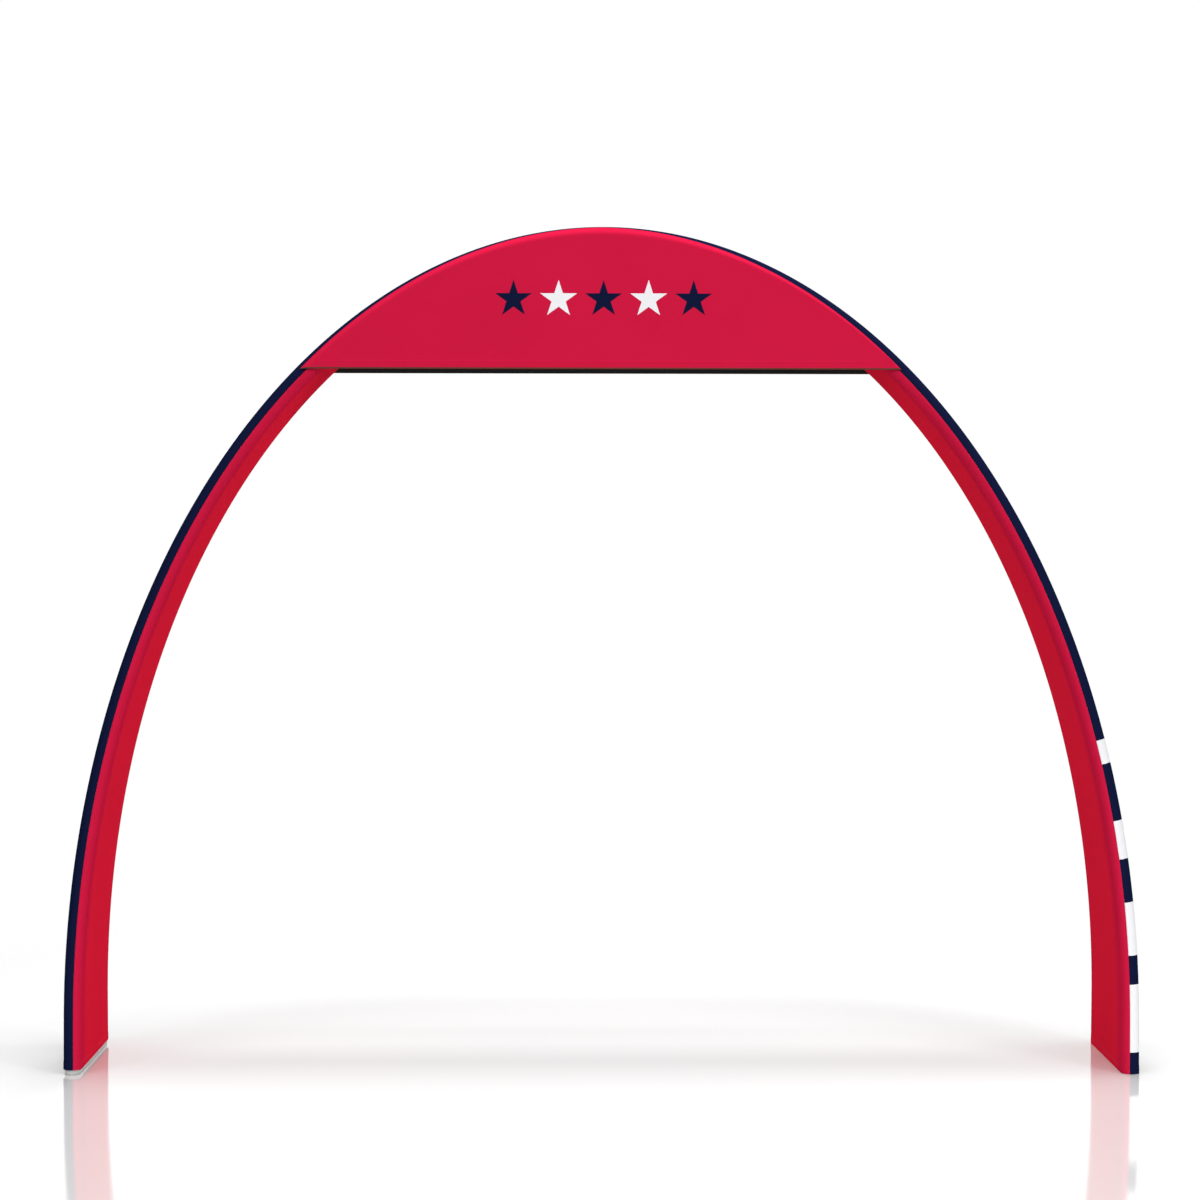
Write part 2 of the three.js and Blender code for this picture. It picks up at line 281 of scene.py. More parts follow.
def band_layer(sizes, line, walked, facing, radius, swell):
    """One face of band cloth, a grid of rows along the arch by columns from the front seam to the back seam.

    The first columns go round the front tube and the last ones round the back tube. Between them the cloth
    draws in by the dish times the square of one less the square of the way across, and leaves both smoothly.
    """
    lips = len(LIP_SHARES)

    def lip(side, columns, shares):
        at = stations(line, walked[:, columns])
        edge, turn = lip_turns(sizes, at.z, facing, shares)
        lifted = radius + swell - turn_in(radius * np.abs(turn - edge))
        return round_tube(sizes, at, side, lifted, turn)

    at = stations(line, walked[:, lips:-lips])
    drawn = sizes.dish * smooth(at.z / DISH_FROM) * (1 - WAYS ** 2) ** 2
    reach = facing * (radius + swell - drawn)
    across = points_at(at.x + at.out_x * reach, WAYS * tube_y(sizes, at.z), at.z + at.out_z * reach)
    front = lip(FRONT, slice(0, lips), LIP_SHARES)
    back = lip(BACK, slice(-lips, None), LIP_SHARES[::-1])
    return np.concatenate([front, across, back], axis=1)


def rows_between(length, step, *hems):
    """Distances from 0 to length, by about a step, with finer rows along a hem at the start or the end."""
    rows = [np.linspace(0, length, round(length / step) + 1)]
    rows += [HEM_ROWS if hem == 0 else length - HEM_ROWS for hem in hems]
    return np.unique(np.round(np.concatenate(rows), ROW_DIGITS))


def across_from_middle(grid):
    """Distance across the cloth of each point of a grid, from its middle column, measured along the cloth."""
    steps = np.linalg.norm(np.diff(grid, axis=1), axis=-1)
    girth = np.concatenate([np.zeros((len(grid), 1)), np.cumsum(steps, axis=1)], axis=1)
    return girth - girth[:, girth.shape[1] // 2, None]


def cut_size(grid, across):
    """Width, length and area that a sheet was cut to: its widest row, middle column and quads' area."""
    width = np.ptp(across, axis=1).max()
    middle = grid[:, grid.shape[1] // 2]
    length = np.linalg.norm(np.diff(middle, axis=0), axis=-1).sum()
    diagonals = np.cross(grid[1:, 1:] - grid[:-1, :-1], grid[1:, :-1] - grid[:-1, 1:])
    area = np.linalg.norm(diagonals, axis=-1).sum() / 2
    return width / STRETCH, length / STRETCH, area / STRETCH ** 2


def grid_faces(at):
    """Quads between neighbouring points of a grid, given by the points' numbers."""
    return np.stack([at[:-1, :-1], at[1:, :-1], at[1:, 1:], at[:-1, 1:]], -1).reshape(-1, 4)


def sheet_shape(outside, inside):
    """A closed sheet: two grids of points, the second turned over, and a rim of quads round their edges."""
    rows, columns = outside.shape[:2]
    count = rows * columns
    at = np.arange(count).reshape(rows, columns)
    rim = np.concatenate([at[0, :-1], at[:-1, -1], at[-1, :0:-1], at[:0:-1, 0]])
    after = np.roll(rim, -1)
    faces = np.concatenate([
        grid_faces(at),
        grid_faces(at + count)[:, ::-1],
        np.stack([rim, after, after + count, rim + count], -1),
    ])
    return np.concatenate([outside.reshape(-1, 3), inside.reshape(-1, 3)]), faces.tolist()


def ringed_shape(rings):
    """A closed solid: a grid of points whose columns run round it, with a flat face over either end."""
    around, columns = rings.shape[:2]
    wrapped = np.concatenate([np.arange(around), [0]])
    at = np.arange(around * columns).reshape(around, columns)[wrapped]
    ends = [at[:-1, 0][::-1].tolist(), at[:-1, -1].tolist()]
    return rings.reshape(-1, 3), grid_faces(at).tolist() + ends


def joined(shapes):
    """Several shapes as one list of points and one of faces."""
    starts = np.cumsum([0] + [len(points) for points, _ in shapes])
    faces = [[corner + start for corner in face] for (_, part), start in zip(shapes, starts) for face in part]
    return np.concatenate([points for points, _ in shapes]), faces


def add_piece(name, shape, material, nodes=(), uv=None, marks=None):
    """An object at the origin with this shape, faces outwards, smooth but for its sharp edges.

    It rides on the one body and stands for these nodes. Marks are named numbers, one for each point, that its
    material reads.
    """
    points, faces = shape
    mesh = bpy.data.meshes.new(name)
    mesh.from_pydata(points.tolist(), [], faces)
    if uv is not None:
        corners = np.empty(len(mesh.loops), dtype=np.int32)
        mesh.loops.foreach_get("vertex_index", corners)
        mesh.uv_layers.new(name="cloth").data.foreach_set("uv", uv[corners].astype(np.float32).ravel())
    for mark, values in (marks or {}).items():
        numbers = values.astype(np.float32).ravel()
        mesh.attributes.new(mark, "FLOAT", "POINT").data.foreach_set("value", numbers)
    mesh.validate()
    if signed_volume(mesh) < 0:
        mesh.flip_normals()
    mesh.shade_smooth()
    mesh.set_sharp_from_angle(angle=SHARP_EDGE)
    mesh.materials.append(material)
    piece = bpy.data.objects.new(name, mesh)
    bpy.context.scene.collection.objects.link(piece)
    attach(piece, "root")
    if nodes:
        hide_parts(*nodes)
    return piece


def signed_volume(mesh):
    """Six times a closed mesh's volume, negative if its faces look inwards: the sum of triple products."""
    mesh.calc_loop_triangles()
    corners = np.empty(len(mesh.loop_triangles) * 3, dtype=np.int32)
    mesh.loop_triangles.foreach_get("vertices", corners)
    places = np.empty(len(mesh.vertices) * 3)
    mesh.vertices.foreach_get("co", places)
    a, b, c = places.reshape(-1, 3)[corners.reshape(-1, 3)].transpose(1, 0, 2)
    return float((a * np.cross(b, c)).sum())


def uv_of(along, across):
    """Cloth coordinates in metres, along and across, for both faces of a sheet."""
    face = np.stack(np.broadcast_arrays(along, across), -1).reshape(-1, 2)
    return np.concatenate([face, face])


def add_node(tree, kind, inputs=None, give=0, **settings):
    """Adds a node with its settings and gives one of its outputs.

    Each input is a value, or another node's output to link.
    """
    node = tree.nodes.new(kind)
    for name, value in settings.items():
        setattr(node, name, value)
    for socket, value in (inputs or {}).items():
        if isinstance(value, bpy.types.NodeSocket):
            tree.links.new(value, node.inputs[socket])
        else:
            node.inputs[socket].default_value = value
    return node.outputs[give] if len(node.outputs) else None


def new_material(name):
    """An empty node material, and its tree."""
    material = bpy.data.materials.new(name)
    material.use_nodes = True
    material.node_tree.nodes.clear()
    return material, material.node_tree


def opaque(colour):
    """A colour with full alpha, for a colour socket."""
    return (*colour, 1.0)


# Blender's names of the nodes that come up most
MATH, VECTOR_MATH, SPLIT = "ShaderNodeMath", "ShaderNodeVectorMath", "ShaderNodeSeparateXYZ"
MIX, RANGE, NOISE = "ShaderNodeMix", "ShaderNodeMapRange", "ShaderNodeTexNoise"
# Places of a colour mix's sockets, which share their names with its number and vector sockets
MIX_A, MIX_B, MIX_RESULT = 6, 7, 2
WAVE_PERIOD = 2 * math.pi / 20  # of a wave texture with a scale of 1

# Knit polyester: its loops are about 1 mm apart, too fine to show, and are drawn coarser
KNIT_PITCH = 3 * MM
KNIT_RELIEF = 0.3 * MM
KNIT_BUMP = 0.1  # share of the relief that is drawn
KNIT_LOOP_SHADE = (0.98, 1.02)  # painted shade between the loops, and painted light on them
KNIT_ROUGHNESS = (0.68, 0.6)
DYE_PATCH = 180 * MM  # dye set by heat takes a little unevenly, over about a hand's width
DYE_SHADES = (1.04, 0.96)

# Print on the front banner: a row of five-pointed stars
STAR_COUNT = 5
STAR_PITCH = 125 * MM
STAR_POINTS = 5
STAR_RADIUS = 54 * MM
STAR_NOTCH = 0.382  # a regular star's inner radius, as a share of its outer one
STAR_ROW_Z = 2155 * MM

# Print on the right leg's outer band: level hoops, each narrower than the one below
HOOP_COUNT = 4
HOOP_PITCH = 270 * MM
HOOP_START = 60 * MM
HOOP_SHARE = 0.7  # of the pitch that is white, in the lowest hoop
HOOP_SHARE_LESS = 0.15  # in each hoop above it


def counted(tree, length, pitch, start, many):
    """Numbers the places of a row that has one every pitch, from a start in pitches.

    Returns the number, the share of its pitch that is passed, and whether the number is one of the row's.
    """
    count = add_node(tree, MATH, {0: length, 1: 1 / pitch, 2: start}, operation="MULTIPLY_ADD")
    number, share = (add_node(tree, MATH, {0: count}, operation=part) for part in ("FLOOR", "FRACT"))
    in_row = add_node(tree, MATH, {0: number, 1: (many - 1) / 2, 2: many / 2}, operation="COMPARE")
    return number, share, in_row


def star_print(tree, place, cloth, colours):
    """A banner's red with a row of stars, navy and white in turn.

    A star is folded into one half of one of its points. There it ends at the straight line from the tip to
    the notch: the distance from the middle times the cosine of the angle from that line's normal is constant.
    """
    notch = STAR_RADIUS * STAR_NOTCH
    half_point = math.pi / STAR_POINTS
    normal = math.atan2(STAR_RADIUS - notch * math.cos(half_point), notch * math.sin(half_point))
    at = add_node(tree, SPLIT, {0: place}).node.outputs
    number, share, in_row = counted(tree, at["X"], STAR_PITCH, STAR_COUNT / 2, STAR_COUNT)
    x = add_node(tree, MATH, {0: share, 1: STAR_PITCH, 2: -STAR_PITCH / 2}, operation="MULTIPLY_ADD")
    z = add_node(tree, MATH, {0: at["Z"], 1: STAR_ROW_Z}, operation="SUBTRACT")
    angle = add_node(tree, MATH, {0: x, 1: z}, operation="ARCTAN2")
    folded = add_node(tree, MATH, {0: angle, 1: half_point}, operation="PINGPONG")
    from_normal = add_node(tree, MATH, {0: folded, 1: normal}, operation="SUBTRACT")
    cosine = add_node(tree, MATH, {0: from_normal}, operation="COSINE")
    spot = add_node(tree, "ShaderNodeCombineXYZ", {"X": x, "Z": z})
    distance = add_node(tree, VECTOR_MATH, {0: spot}, "Value", operation="LENGTH")
    reach = add_node(tree, MATH, {0: distance, 1: cosine}, operation="MULTIPLY")
    inside = add_node(tree, MATH, {0: reach, 1: STAR_RADIUS * math.cos(normal)}, operation="LESS_THAN")
    mask = add_node(tree, MATH, {0: inside, 1: in_row}, operation="MULTIPLY")
    turn = add_node(tree, MATH, {0: number, 1: 2.0}, operation="FLOORED_MODULO")
    red, navy, white = (opaque(each) for each in (colours.red, colours.navy, colours.white))
    ink = add_node(tree, MIX, {0: turn, MIX_A: navy, MIX_B: white}, MIX_RESULT, data_type="RGBA")
    starred = add_node(tree, MIX, {0: mask, MIX_A: red, MIX_B: ink}, MIX_RESULT, data_type="RGBA")
    return lined_with_hem_band(tree, cloth, colours, starred)


def lined_with_hem_band(tree, cloth, colours, face):
    """The colour of a banner's face, with a dark brownish band along the hem and a dark lining behind.

    The band shows where the distance from the hem, the second cloth coordinate, is below its width.
    """
    from_hem = add_node(tree, SPLIT, {0: cloth}, "Y")
    on_hem_band = add_node(tree, MATH, {0: from_hem, 1: HEM_BAND}, operation="LESS_THAN")
    behind = add_node(tree, "ShaderNodeAttribute", give="Fac", attribute_name="lining")
    hem_band, lining = opaque(colours.hem_band), opaque(colours.dark)
    edged = add_node(tree, MIX, {0: on_hem_band, MIX_A: face, MIX_B: hem_band}, MIX_RESULT, data_type="RGBA")
    return add_node(tree, MIX, {0: behind, MIX_A: edged, MIX_B: lining}, MIX_RESULT, data_type="RGBA")


def plain_banner(tree, place, cloth, colours):
    """A banner's red, with no print."""
    return lined_with_hem_band(tree, cloth, colours, opaque(colours.red))


def leg_red_with_painted_light(tree, place, cloth, colours):
    """Two shades of red: the banners' on a leg's rounded edges, and a warmer, lighter one on the face between
    them. Its warmer hue is the print's; its extra lightness is painted light, and its slow blend from the
    front fold is painted shade near that fold.
    """
    between = add_node(tree, "ShaderNodeAttribute", give="Fac", attribute_name="inner_face")
    edges, face = opaque(colours.red), opaque(colours.inner_red_with_painted_light)
    return add_node(tree, MIX, {0: between, MIX_A: edges, MIX_B: face}, MIX_RESULT, data_type="RGBA")


def plain_dark(tree, place, cloth, colours):
    """The dark cloth inside the header."""
    return tuple(colours.dark)


def hoop_print(tree, place, cloth, colours):
    """A colour that is navy but for a few white hoops, counted up from the hem along the cloth.

    A hoop shows where the length up the cloth, in pitches, has a fraction below the hoop's share.
    """
    length = add_node(tree, SPLIT, {0: cloth}, "X")
    number, way, in_row = counted(tree, length, HOOP_PITCH, -HOOP_START / HOOP_PITCH, HOOP_COUNT)
    share = add_node(tree, MATH, {0: number, 1: -HOOP_SHARE_LESS, 2: HOOP_SHARE}, operation="MULTIPLY_ADD")
    hooped = add_node(tree, MATH, {0: way, 1: share}, operation="LESS_THAN")
    mask = add_node(tree, MATH, {0: hooped, 1: in_row}, operation="MULTIPLY")
    navy, white = opaque(colours.navy), opaque(colours.white)
    return add_node(tree, MIX, {0: mask, MIX_A: navy, MIX_B: white}, MIX_RESULT, data_type="RGBA")


def knit_polyester(name, colours, paint):
    """Warp-knit stretch polyester, dyed by heat transfer: matt, as its rows of loops scatter away gloss.

    paint gives its colour, from the place on the piece or on the cloth.
    """
    material, tree = new_material(name)
    cloth = add_node(tree, "ShaderNodeUVMap", give="UV", uv_map="cloth")
    place = add_node(tree, "ShaderNodeTexCoord", give="Object")
    colour = paint(tree, place, cloth, colours)
    loops, courses = (
        add_node(
            tree, "ShaderNodeTexWave", {"Vector": cloth, "Scale": WAVE_PERIOD / KNIT_PITCH}, "Fac",
            wave_type="BANDS", bands_direction=direction, wave_profile="SIN",
        )
        for direction in ("X", "Y")
    )
    knit = add_node(tree, MATH, {0: loops, 1: courses}, operation="MULTIPLY")
    patches = {"Vector": place, "Scale": 1 / DYE_PATCH, "Detail": 2.0, "Roughness": 0.5}
    dye = add_node(tree, NOISE, patches, "Fac")
    depth, painted_loop_shade, rough = (
        add_node(tree, RANGE, {"Value": value, "To Min": low, "To Max": high})
        for value, (low, high) in ((dye, DYE_SHADES), (knit, KNIT_LOOP_SHADE), (knit, KNIT_ROUGHNESS))
    )
    # the dye's uneven depth, times the painted shade of the knit's loops
    shade = add_node(tree, MATH, {0: depth, 1: painted_loop_shade}, operation="MULTIPLY")
    dyed = add_node(tree, VECTOR_MATH, {0: colour, "Scale": shade}, operation="SCALE")
    bump = add_node(tree, "ShaderNodeBump", {"Height": knit, "Strength": KNIT_BUMP, "Distance": KNIT_RELIEF})
    looks = {"Base Color": dyed, "Roughness": rough, "Normal": bump, "Specular IOR Level": 0.0}
    shader = add_node(tree, "ShaderNodeBsdfPrincipled", looks)
    add_node(tree, "ShaderNodeOutputMaterial", {"Surface": shader})
    return material


def uneven_finish(name, colour, patch, shades, roughness, fixed, relief=None):
    """A finish whose shade and roughness change together, from patch to patch of a noise.

    patch is the noise's width and detail, and relief the width, detail, strength and height of a finer bump.
    The fixed values are the shader's own.
    """
    material, tree = new_material(name)
    place = add_node(tree, "ShaderNodeTexCoord", give="Object")
    width, detail = patch
    uneven = add_node(tree, NOISE, {"Vector": place, "Scale": 1 / width, "Detail": detail}, "Fac")
    shade, rough = (
        add_node(tree, RANGE, {"Value": uneven, "To Min": low, "To Max": high})
        for low, high in (shades, roughness)
    )
    skin = add_node(tree, VECTOR_MATH, {0: colour, "Scale": shade}, operation="SCALE")
    looks = {"Base Color": skin, "Roughness": rough, **fixed}
    if relief:
        width, detail, strength, height = relief
        grain = add_node(tree, NOISE, {"Vector": place, "Scale": 1 / width, "Detail": detail}, "Fac")
        bumps = {"Height": grain, "Strength": strength, "Distance": height}
        looks["Normal"] = add_node(tree, "ShaderNodeBump", bumps)
    shader = add_node(tree, "ShaderNodeBsdfPrincipled", looks)
    add_node(tree, "ShaderNodeOutputMaterial", {"Surface": shader})
    return material


THREAD_PLY = 2 * MM  # a sewing thread's twist is finer than this, and would not show
ORANGE_PEEL = 2.5 * MM  # width of the ripples in a baked powder coat
COAT_PATCH = 60 * MM
DRAW_LINE = 3 * MM  # die lines on drawn tube are finer, and are drawn this coarse to show
OXIDE_PATCH = 90 * MM


def spun_thread(name, colour):
    """Spun polyester sewing thread: a little glossier than the cloth, paler and darker along its twist."""
    return uneven_finish(
        name, colour, patch=(THREAD_PLY, 1.0), shades=(0.8, 1.15), roughness=(0.55, 0.42),
        fixed={"Specular IOR Level": 0.15},
    )


def powder_coat(name, colour):
    """Steel plate with a baked powder coat: a satin skin with a fine ripple, a little duller in patches."""
    return uneven_finish(
        name, colour, patch=(COAT_PATCH, 3.0), shades=(1.02, 0.95), roughness=(0.32, 0.5),
        fixed={"IOR": 1.5}, relief=(ORANGE_PEEL, 1.0, 0.15, 0.1 * MM),
    )


def drawn_aluminium(name, colour):
    """Drawn aluminium tube, bare: a dull metal with an uneven oxide and faint streaks from the die."""
    return uneven_finish(
        name, colour, patch=(OXIDE_PATCH, 4.0), shades=(1.04, 0.9), roughness=(0.28, 0.46),
        fixed={"Metallic": 1.0}, relief=(DRAW_LINE, 2.0, 0.08, 0.05 * MM),
    )


class ARCHWAY_OT_outer_band(bpy.types.Operator):
    """Lays the navy band over the outside of the arch, from foot to foot"""

    bl_idname = "archway.outer_band"
    bl_label = "Outer band"

    def execute(self, context):
        sizes, colours = context.scene.archway_sizes, context.scene.archway_colours
        line = middle_line(sizes)
        length = line.walked[-1] - sizes.hem_left - sizes.hem_right
        rows = rows_between(length, ROW_STEP, 0, 1)[:, None]
        walked = np.repeat(sizes.hem_left + rows, len(LIP_SHARES) * 2 + len(WAYS), axis=1)
        swell = hem_relief(np.minimum(rows, length - rows))
        outside = band_layer(sizes, line, walked, OUTWARD, sizes.edge / 2, swell)
        inside = band_layer(sizes, line, walked, OUTWARD, sizes.edge / 2 - sizes.cloth, 0)
        across = across_from_middle(outside)
        material = knit_polyester("navy_warp_knit_polyester_printed", colours, hoop_print)
        shape, cloth = sheet_shape(outside, inside), uv_of(length - rows, across)
        piece = add_piece("outer_band_cloth", shape, material, ["outer_band"], cloth)
        width, length, area = cut_size(outside, across)
        return {"FINISHED"}


def walked_to_height(line, height, reach):
    """How far up the left leg a point that stands out from the middle line by a reach comes to a height.

    The middle line's height there is the height less the reach times the outward direction's rise, which is
    corrected a few times.
    """
    top = len(line.z) // 2 + 1
    middle = np.full(np.shape(reach), height)
    for _ in range(HEIGHT_ROUNDS):
        walked = np.interp(middle, line.z[:top], line.walked[:top])
        middle = height - np.interp(walked, line.walked, line.out_z) * reach
    return walked


def leg_hem(sizes, side):
    """Height of a leg's hem."""
    return sizes.hem_left if side == LEFT else sizes.hem_right


def leg_walk(sizes, line, side, radius, rows):
    """Lengths along the arch for each row and column of a leg's inner band, whose top is cut level.

    Each column runs from the leg's hem to where it reaches the height of the cut. The rows, given by their
    distances up the longest column, share out each of the others alike.
    """
    top = sizes.header_hem + INNER_BAND_ABOVE_HEM
    hem = leg_hem(sizes, side)
    _, turns = lip_turns(sizes, top, INWARD, LIP_SHARES)
    lip = radius * np.cos(turns)
    flat = -radius + sizes.dish * (1 - WAYS ** 2) ** 2
    ends = walked_to_height(line, top, np.concatenate([lip, flat, lip[::-1]]))
    climbed = hem + rows / rows[-1] * (ends - hem)
    return climbed if side == LEFT else line.walked[-1] - climbed


# Where the warmer, lighter red of a leg's inner face begins and is full, measured along the cloth from the
# seams. The blend is wide at the front, which paints shade near the front fold.
INNER_FACE_FRONT = (36 * MM, 126 * MM)
INNER_FACE_BACK = (30 * MM, 45 * MM)


def inner_face(across):
    """How far a place is on a leg's inner face: a smooth step from the front seam times one from the back."""
    front, back = across - across[:, :1], across[:, -1:] - across
    steps = [
        smooth((distance - begin) / (full - begin))
        for distance, (begin, full) in ((front, INNER_FACE_FRONT), (back, INNER_FACE_BACK))
    ]
    return steps[0] * steps[1]


class ARCHWAY_OT_inner_bands(bpy.types.Operator):
    """Lays the red bands on the inside of both legs, from the floor up to the header"""

    bl_idname = "archway.inner_bands"
    bl_label = "Inner bands"

    def execute(self, context):
        sizes, colours = context.scene.archway_sizes, context.scene.archway_colours
        line = middle_line(sizes)
        top = walked_to_height(line, sizes.header_hem + INNER_BAND_ABOVE_HEM, -sizes.edge / 2)
        back_face = sizes.edge / 2 - sizes.cloth
        material = knit_polyester("red_warp_knit_polyester", colours, leg_red_with_painted_light)
        for side, leg in LEG_NAMES.items():
            rows = rows_between(top - leg_hem(sizes, side), ROW_STEP, 0)[:, None]
            walked = leg_walk(sizes, line, side, sizes.edge / 2, rows)
            outside = band_layer(sizes, line, walked, INWARD, sizes.edge / 2, hem_relief(rows))
            walked = leg_walk(sizes, line, side, back_face, rows)
            inside = band_layer(sizes, line, walked, INWARD, back_face, 0)
            across = across_from_middle(outside)
            shape, cloth = sheet_shape(outside, inside), uv_of(rows, across)
            marks = {"inner_face": np.tile(inner_face(across).ravel(), 2)}
            name, node = f"inner_band_cloth_{leg}", f"inner_band_{leg}"
            piece = add_piece(name, shape, material, [node], cloth, marks)
        return {"FINISHED"}


HALF_WAY = 0.5  # round the tube, where a banner's length there is measured


def banner_hem(sizes, side):
    """Height of a banner's hem."""
    return sizes.header_hem if side == FRONT else sizes.header_hem + BACK_HEM_HIGHER


def banner_radius(sizes, share):
    """Radius of a banner's outside, which stands off more, a share of the way from its rim round the tube."""
    stand_off = STAND_OFF_AT_RIM + (STAND_OFF_AT_HEM - STAND_OFF_AT_RIM) * smooth(share)
    return sizes.edge / 2 + stand_off + sizes.cloth


def banner_layout(sizes, line, walked, side):
    """Where a banner lies at these lengths along the arch.

    Returns the stations, the turn at which the banner's rim ends, the length round the tube, and the whole
    length from the rim to the hem. Beyond its tips the hem crosses the part round the tube, at the turn
    whose cosine is the hem's height over the station, divided by the radius and the outward direction's rise.
    """
    at = stations(line, walked)
    half_span, rise = half_axes(sizes)
    tip = math.asin((sizes.header_hem - sizes.spring) / rise)
    way = (QUARTER - np.arccos(at.x / half_span)) / (QUARTER - tip)
    rim = np.interp(way, RIM_WAYS, RIM_WIDTHS)
    rim_turn = np.arccos((sizes.edge / 2 - rim) / banner_radius(sizes, 0))
    above = at.z - banner_hem(sizes, side)
    crossing = np.full_like(above, QUARTER)
    for _ in range(HEIGHT_ROUNDS):
        radius = banner_radius(sizes, (crossing - rim_turn) / (QUARTER - rim_turn))
        crossing = np.arccos(np.clip(-above / (at.out_z * radius), 0, 1))
    wrapped = banner_radius(sizes, HALF_WAY) * (crossing - rim_turn)
    return at, rim_turn, wrapped, wrapped + np.maximum(above, 0)


def banner_layer(sizes, line, walked, side, from_rim, lift):
    """Points of a banner at distances from its rim, round the tube and then straight down to the hem.

    They stand off its outside by the lift.
    """
    at, rim_turn, wrapped, _ = banner_layout(sizes, line, walked, side)
    turn = np.minimum(rim_turn + from_rim / banner_radius(sizes, HALF_WAY), QUARTER)
    radius = banner_radius(sizes, (turn - rim_turn) / (QUARTER - rim_turn))
    turned = round_tube(sizes, at, side, radius + lift, turn)
    z = at.z - (from_rim - wrapped)
    y = side * (half_depth(sizes, z) + STAND_OFF_AT_HEM + sizes.cloth + lift)
    hung = points_at(at.x, y, z)
    return np.where((from_rim > wrapped)[..., None], hung, turned)


def banner_ends(sizes, line, side):
    """Lengths along the arch at which the rim of a banner meets its hem, left and right."""
    reach = sizes.edge / 2 - RIM_WIDTHS[[0, -1]]
    left, right = walked_to_height(line, banner_hem(sizes, side), reach)
    return left, line.walked[-1] - right


class ARCHWAY_OT_banners(bpy.types.Operator):
    """Hangs the red banners on the front and the back of the header, wrapped over the tubes"""

    bl_idname = "archway.banners"
    bl_label = "Banners"

    def execute(self, context):
        sizes, colours = context.scene.archway_sizes, context.scene.archway_colours
        line = middle_line(sizes)
        finishes = {
            FRONT: knit_polyester("red_warp_knit_polyester_printed", colours, star_print),
            BACK: knit_polyester("red_warp_knit_polyester_lined", colours, plain_banner),
        }
        for side, name in SIDE_NAMES.items():
            walked, from_rim, length = self.grid(sizes, line, side)
            hemmed = smooth(length / (2 * HEM_DEPTH) - 1)  # no hem is doubled where a banner ends in a tip
            relief = hem_relief(length - from_rim) * hemmed - turn_in(from_rim)
            outside = banner_layer(sizes, line, walked, side, from_rim, relief)
            inside = banner_layer(sizes, line, walked, side, from_rim, -sizes.cloth)
            marks = {"lining": np.repeat([0, 1], from_rim.size)}
            shape, cloth = sheet_shape(outside, inside), uv_of(walked, length - from_rim)
            piece = add_piece(
                f"header_banner_{name}", shape, finishes[side], [f"header_{name}"], cloth, marks
            )
        return {"FINISHED"}

    def grid(self, sizes, line, side):
        """Rows along the arch, and distances from the rim in each, closer together at the rim and the hem."""
        left, right = banner_ends(sizes, line, side)
        rows = round((right - left) / BANNER_ROW_STEP)
        walked = np.linspace(left + BANNER_TIP_GAP, right - BANNER_TIP_GAP, rows)[:, None]
        _, _, _, length = banner_layout(sizes, line, walked, side)
        rim_zone = np.minimum(RIM_ZONE, RIM_ZONE_MOST * length)
        hem_zone = np.minimum(HEM_ROWS[-1], HEM_ZONE_MOST * length)
        panel = np.linspace(0, 1, PANEL_COLUMNS)[1:-1]
        from_rim = np.concatenate([
            rim_zone * RIM_COLUMNS,
            rim_zone + (length - rim_zone - hem_zone) * panel,
            length - hem_zone * HEM_ROWS[::-1] / HEM_ROWS[-1],
        ], axis=1)
        return walked, from_rim, length


class ARCHWAY_OT_underside(bpy.types.Operator):
    """Closes the header from below with a dark strip, up between the two banners"""

    bl_idname = "archway.underside"
    bl_label = "Underside"

    def execute(self, context):
        """The strip sags by a height times the squares of one less the squared way along and across."""
        sizes, colours = context.scene.archway_sizes, context.scene.archway_colours
        low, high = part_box("header_underside")
        along = np.linspace(-1, 1, UNDERSIDE_ROWS)[:, None]
        across = np.linspace(-1, 1, UNDERSIDE_COLUMNS)
        sag = UNDERSIDE_SAG * (1 - along ** 2) ** 2 * (1 - across ** 2) ** 2
        x, y = along * high.x, across * high.y
        below = points_at(x, y, low.z - sag)
        above = below + [0, 0, sizes.cloth]
        material = knit_polyester("dark_warp_knit_polyester", colours, plain_dark)
        shape, cloth, node = sheet_shape(below, above), uv_of(x, y), "header_underside"
        piece = add_piece("header_underside_cloth", shape, material, [node], cloth)
        return {"FINISHED"}


# A stitch has a tip at either end and two rings between.
# Each point is given by its shares of the half length, the half width and the height.
STITCH_RING = np.array([[-1, -0.3], [-0.6, 1], [0.6, 1], [1, -0.3]])
STITCH_RING_AT = 0.6
STITCH_TIP_SINKS = -0.3


def stitch_shape(centres, along, up):
    """Small closed threads, one at each centre: a stitch's form turned to lie along the sewing, facing up."""
    ends = np.array([[-1, 0, STITCH_TIP_SINKS], [1, 0, STITCH_TIP_SINKS]])
    rings = [np.insert(STITCH_RING, 0, place, axis=1) for place in (-STITCH_RING_AT, STITCH_RING_AT)]
    form = np.concatenate([ends[:1], *rings, ends[1:]])
    form = form * [STITCH_LENGTH / 2, STITCH_WIDTH / 2, STITCH_HEIGHT]
    turned = np.stack([along, np.cross(up, along), up], axis=1)
    points = centres[:, None] + form @ turned
    sides = len(STITCH_RING)
    ring = 1 + np.arange(sides)
    after = np.roll(ring, -1)
    first, last = np.zeros_like(ring), np.full_like(ring, len(form) - 1)
    faces = np.concatenate([
        np.stack([first, after, ring], -1),
        np.stack([ring, after, after + sides], -1),
        np.stack([ring, after + sides, ring + sides], -1),
        np.stack([last, ring + sides, after + sides], -1),
    ])
    starts = len(form) * np.arange(len(centres))[:, None, None]
    return points.reshape(-1, 3), (faces + starts).reshape(-1, 3).tolist()


